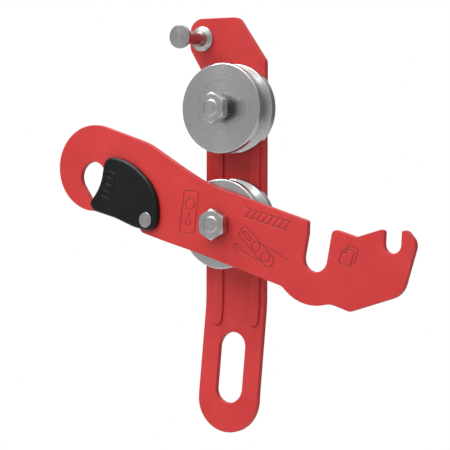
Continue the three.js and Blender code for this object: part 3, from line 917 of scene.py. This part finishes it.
def nut(name, node, z, front):
    rear = front - 4.7

    def section(reach):
        shoulder = front - (reach - HEX_FACE_RADIUS) * HEX_CHAMFER_SLOPE
        back = rear + (reach - HEX_FACE_RADIUS) * HEX_CHAMFER_SLOPE
        return [(3.98, rear, 0.1), (HEX_FACE_RADIUS, rear, 0.1), (reach, back, 0.1),
                (reach, shoulder, 0.1), (HEX_FACE_RADIUS, front, 0.1), (3.98, front, 0.03)]

    piece = make_object(name, hex_mesh(section, closed=True), at(0, z))
    settle(piece, "frame", node, NUT_METAL)


def bolt(name, node, z, tip):
    """A hexagon-headed bolt from behind: the head's chamfered face is at the rear."""
    under = -PLATE_THICKNESS - 1.6 - 2 * FACE_GAP
    rear = under - 5.3

    def section(reach):
        shoulder = rear + (reach - HEX_FACE_RADIUS) * HEX_CHAMFER_SLOPE
        return [(0, rear + 0.15, 0), (4.6, rear + 0.15, 0.3), (5.0, rear, 0.2),
                (HEX_FACE_RADIUS, rear, 0.1), (reach, shoulder, 0.1), (reach, under, 0.2),
                (3.95, under, 0.2), (3.95, tip - 0.52, 0.05), (3.3, tip, 0.12), (0, tip, 0)]

    piece = make_object(name, hex_mesh(section, closed=False), at(0, z))
    settle(piece, "frame", node, NUT_METAL)


for name, z, nut_front in (("lower", 0.0, 24.4), ("upper", AXLE_SPACING, 24.6)):
    bobbin(f"{name}_grooved_bobbin", f"{name}_bobbin", z)
    bolt(f"{name}_bolt", f"{name}_axle_bolt", z, nut_front + 0.5)
    nut(f"{name}_nut", f"{name}_axle_nut", z, nut_front)
    rear_face = -PLATE_THICKNESS - FACE_GAP
    turned_piece(
        f"{name}_back_washer", f"{name}_rear_washer",
        ring_section(BORE, 8.0, rear_face - 1.6, rear_face), 0, z, WASHER_METAL)

# The neck bush is painted near black as painted shade under the upper nut.
turned_piece(
    "neck_bush", "upper_neck_bush",
    ring_section(BORE, 5.0, BOBBIN_LENGTH + FACE_GAP, 24.6 - 4.7 - FACE_GAP),
    0, AXLE_SPACING, SHADE_DARKENED_STEEL)
turned_piece(
    "pivot_bush", "lower_pivot_bush",
    ring_section(BORE, 5.0, BOBBIN_LENGTH + FACE_GAP, SWING_REAR + PLATE_THICKNESS + FACE_GAP),
    0, 0, WASHER_METAL)
turned_piece(
    "thrust_washer", "lower_thrust_washer",
    ring_section(5.08, 8.5, BOBBIN_LENGTH + FACE_GAP, SWING_REAR - FACE_GAP, 0.08),
    0, 0, WASHER_METAL)
# The lock washer is painted near black as painted shade beside the lower nut.
turned_piece(
    "lock_washer", "lower_lock_washer",
    ring_section(BORE, 6.4, SWING_REAR + PLATE_THICKNESS + 2 * FACE_GAP,
                 24.4 - 4.7 - FACE_GAP, 0.1),
    0, 0, SHADE_DARKENED_STEEL)

# ---- Latch stud ------------------------------------------------------------------------------

turned_piece("stud", "latch_stud", [
    (0, -5.4, 0), (3.4, -5.4, 0.8), (4.2, -4.7, 0.3), (4.2, -4.1, 0.1), (2.9, -4.1, 0.1),
    (2.9, 2.25, 0.1), (3.7, 2.25, 0.1), (3.2, 3.7, 2.2), (3.2, 19.2, 0.1), (3.25, 19.4, 0.1),
    (5.55, 19.4, 0.2), (5.55, 21.1, 0.22), (0, 21.1, 0),
], STUD_X, STUD_Z, STUD_METAL)
turned_piece("stud_collar", "latch_stud_collar", [
    (2.98, FACE_GAP, 0.1), (6.05, FACE_GAP, 0.2), (6.05, 0.9, 0.5), (5.2, 1.45, 1.5),
    (3.9, 2.2, 0.25), (2.98, 2.2, 0.1),
], STUD_X, STUD_Z, STUD_METAL)
turned_piece(
    "stud_back_washer", "latch_stud_rear_washer",
    ring_section(2.98, 5.4, -PLATE_THICKNESS - FACE_GAP - 1, -PLATE_THICKNESS - FACE_GAP),
    STUD_X, STUD_Z, WASHER_METAL)

# ---- Spring gate -----------------------------------------------------------------------------

CHEEK_CORNERS = [
    (-26.7, 30.7, 5.4), (-29.2, 16.4, 20.0), (-36.2, 7.6, 1.9), (-33.4, 3.9, 2.6),
    (-20.0, 0.7, 20.0), (-8.0, -3.5, 8.0), (6.9, -6.5, 6.3), (6.8, 14.4, 22.0),
    (-12.2, 29.3, 32.0),
]
WEB_CORNERS = [
    (-30.8, 3.9, 0.3), (-20.0, 1.3, 5.0), (-12.6, -1.5, 0.3), (-12.6, 0.3, 0.3),
    (-20.0, 3.1, 5.0), (-30.8, 5.7, 0.3),
]
CHEEK_EDGE = 1.5
FRONT_FACE = GATE_GAP + CHEEK_LENGTH
REAR_INNER = -PLATE_THICKNESS - GATE_GAP
REAR_FACE = REAR_INNER - CHEEK_LENGTH
GRIP_WIDTH, GRIP_DEPTH = 0.9, 0.3


def flat(height):
    return lambda points: np.full(len(points), float(height))


def gate_cutter(corners):
    mesh = lathe_mesh(corners, 64)
    return make_object("gate_cutter", (*mesh[:2], None, {}), GATE_PLACE)


def gate():
    """Two cheeks joined by a web along the mouth, moulded in one."""
    cheek = [rounded(CHEEK_CORNERS, longest=1.2)]

    def gripped(points):
        return FRONT_FACE - GRIP_DEPTH * stroke_depth(points, GRIP_STROKES, GRIP_WIDTH)

    parts = [
        plate_mesh(cheek, gripped, flat(GATE_GAP), CHEEK_EDGE, 0.25,
                   lines=stroke_lines(GRIP_STROKES, GRIP_WIDTH)),
        plate_mesh(cheek, flat(REAR_INNER), flat(REAR_FACE), 0.25, CHEEK_EDGE),
        plate_mesh([rounded(WEB_CORNERS, longest=1.2)], flat(FRONT_FACE - 0.6),
                   flat(REAR_FACE + 0.6), 0.2, 0.2),
    ]
    solids = [
        make_object("moulded_gate", (vertices, faces, None, {}), GATE_PLACE)
        for vertices, faces, _, _ in parts
    ]
    piece = solids[0]
    cut(piece, solids[1:], "UNION")
    cut(piece, [
        gate_cutter([(0, -9, 0), (2.6, -9, 0.01), (2.6, 6, 0.01), (0, 6, 0)]),
        gate_cutter([(0, FRONT_FACE - 0.8, 0), (3.95, FRONT_FACE - 0.8, 0.15),
                     (3.95, FRONT_FACE + 2, 0.01), (0, FRONT_FACE + 2, 0)]),
        gate_cutter([(0, REAR_INNER - 1.4, 0), (4.4, REAR_INNER - 1.4, 0.1),
                     (4.4, REAR_INNER + 0.5, 0.01), (0, REAR_INNER + 0.5, 0)]),
    ], "DIFFERENCE")
    resmooth(piece, 35)
    piece.name = "moulded_gate"
    settle(piece, "gate", "safety_gate", PLASTIC)


def gate_metalwork():
    head = FRONT_FACE - 0.8 + FACE_GAP
    tail = REAR_FACE - 0.7 - 2 * FACE_GAP
    rivet = make_object("rivet", lathe_mesh([
        (0, tail - 0.9, 0), (2.4, tail - 0.9, 0.6), (3.3, tail - 0.4, 0.3), (3.3, tail, 0.08),
        (2.5, tail, 0.08), (2.5, head, 0.08), (3.7, head, 0.1), (3.7, head + 1, 0.22),
        (0, head + 1, 0),
    ]), GATE_PLACE)
    settle(rivet, "side_plate", "gate_rivet", STUD_METAL)
    washer = make_object("rivet_washer", lathe_mesh(ring_section(
        2.58, 4.4, REAR_FACE - FACE_GAP - 0.7, REAR_FACE - FACE_GAP, 0.12)), GATE_PLACE)
    settle(washer, "side_plate", "gate_rivet_washer", WASHER_METAL)
    height = REAR_INNER - 0.7
    coil = [
        (SPRING_RADIUS * math.cos(a), -height, SPRING_RADIUS * math.sin(a))
        for a in np.radians(np.linspace(90 - 315, 90, 64))
    ]
    leg = [(x, -height, SPRING_RADIUS) for x in (-0.5, -1.5, -3, -6, -9)]
    spring = make_object("torsion_spring", tube_mesh(coil + leg, SPRING_WIRE), GATE_PLACE)
    settle(spring, "gate", "gate_spring", SPRING_METAL)


gate()
gate_metalwork()

# ---- Camera, floor and light -----------------------------------------------------------------

CAMERA_AZIMUTH, CAMERA_ELEVATION, CAMERA_ROLL = 30.86, 1.82, 0.10
CAMERA_DISTANCE = 0.8837
CAMERA_LENS, SENSOR = 148.16, 36.0
AIM_RIGHT, AIM_UP = 0.00573, 0.00084  # where the axle lies in the view, metres from its middle
EYE_LEVEL_LIGHT = (0.5, 0.2)  # from the front, from behind
SKY_LIGHT, GROUND_LIGHT = 1.05, 0.15
SKY_DIM_SIDE = 0.4  # share of the sky's light that comes from the right


def look():
    a, e = math.radians(CAMERA_AZIMUTH), math.radians(CAMERA_ELEVATION)
    right = Vector((math.cos(a), math.sin(a), 0))
    back = Vector((math.sin(a) * math.cos(e), -math.cos(a) * math.cos(e), math.sin(e)))
    up = back.cross(right)
    roll = math.radians(CAMERA_ROLL)
    right, up = (right * math.cos(roll) + up * math.sin(roll),
                 up * math.cos(roll) - right * math.sin(roll))
    data = bpy.data.cameras.new("camera")
    data.lens, data.sensor_width = CAMERA_LENS, SENSOR
    data.clip_start, data.clip_end = 0.01, 100
    camera = bpy.data.objects.new("camera", data)
    bpy.context.scene.collection.objects.link(camera)
    turn = Matrix((right, up, back)).transposed().to_4x4()
    place = AXLE - right * AIM_RIGHT - up * AIM_UP + back * CAMERA_DISTANCE
    camera.matrix_world = Matrix.Translation(place) @ turn
    bpy.context.scene.camera = camera


def area_light(name, place, size, power, glossy=True, diffuse=True):
    data = bpy.data.lights.new(name, "AREA")
    data.shape, data.size, data.size_y = "RECTANGLE", *size
    data.energy = power
    light = bpy.data.objects.new(name, data)
    bpy.context.scene.collection.objects.link(light)
    light.location = place
    light.rotation_mode = "QUATERNION"
    light.rotation_quaternion = (AXLE - Vector(place)).to_track_quat("-Z", "Y")
    light.visible_camera = False
    light.visible_glossy = glossy
    light.visible_diffuse = diffuse


def surroundings():
    """A studio that is white above and dim at eye level, darker behind the piece; the camera
    itself sees plain white."""
    world = bpy.data.worlds.new("studio")
    bpy.context.scene.world = world
    world.use_nodes = True
    nodes, links = world.node_tree.nodes, world.node_tree.links
    nodes.clear()
    direction = nodes.new("ShaderNodeTexCoord")
    split = nodes.new("ShaderNodeSeparateXYZ")
    links.new(direction.outputs["Generated"], split.inputs[0])

    def mapped(axis, start, end, low, high):
        made = nodes.new("ShaderNodeMapRange")
        made.interpolation_type = "SMOOTHSTEP"
        set_range(made, start, end, low, high)
        links.new(split.outputs[axis], made.inputs["Value"])
        return made.outputs["Result"]

    def maths(operation, a, b):
        made = nodes.new("ShaderNodeMath")
        made.operation = operation
        links.new(a, made.inputs[0])
        links.new(b, made.inputs[1])
        return made.outputs["Value"]

    eye_level = mapped("Y", -0.75, 0.6, *EYE_LEVEL_LIGHT)
    sky = maths("MULTIPLY", mapped("Z", 0.25, 0.85, 0.0, SKY_LIGHT),
                mapped("X", -0.1, 0.7, 1.0, SKY_DIM_SIDE))
    ground = mapped("Z", -0.5, -0.1, GROUND_LIGHT, 0.0)
    light = nodes.new("ShaderNodeBackground")
    total = maths("ADD", maths("ADD", eye_level, sky), ground)
    links.new(total, light.inputs["Color"])
    white = nodes.new("ShaderNodeBackground")
    white.inputs["Color"].default_value = (1, 1, 1, 1)
    path = nodes.new("ShaderNodeLightPath")
    mix = nodes.new("ShaderNodeMixShader")
    links.new(path.outputs["Is Camera Ray"], mix.inputs[0])
    links.new(light.outputs[0], mix.inputs[1])
    links.new(white.outputs[0], mix.inputs[2])
    output = nodes.new("ShaderNodeOutputWorld")
    links.new(mix.outputs[0], output.inputs["Surface"])


def floor():
    """A wide pale floor well below the piece, as it hangs in the studio."""
    drop, half = 0.45, 1.5
    mesh = bpy.data.meshes.new("floor")
    z = cad_low.z - drop
    mesh.from_pydata(
        [(-half, -half, z), (half, -half, z), (half, half, z), (-half, half, z)],
        [], [(0, 1, 2, 3)])
    piece = bpy.data.objects.new("floor", mesh)
    bpy.context.scene.collection.objects.link(piece)
    m = Material("studio_floor", Metallic=0.0, Roughness=0.9)
    m.feed("Base Color", m.mixed(m.noise(3, 2), (0.6, 0.6, 0.6), (0.64, 0.64, 0.64)))
    mesh.materials.append(m.made)


look()
surroundings()
floor()
area_light("overhead", (-0.2, -0.1, 1.0), (0.8, 0.7), 7.0)
area_light("high_glint", (-0.52, -0.56, 0.64), (0.12, 0.12), 0.9, diffuse=False)
area_light("front_glint", (-0.08, -0.95, 0.62), (0.2, 0.12), 0.25, diffuse=False)
area_light("key", (-0.6, -1.3, 1.1), (0.8, 0.8), 6.0, glossy=False)
bpy.context.scene.view_settings.view_transform = "Standard"
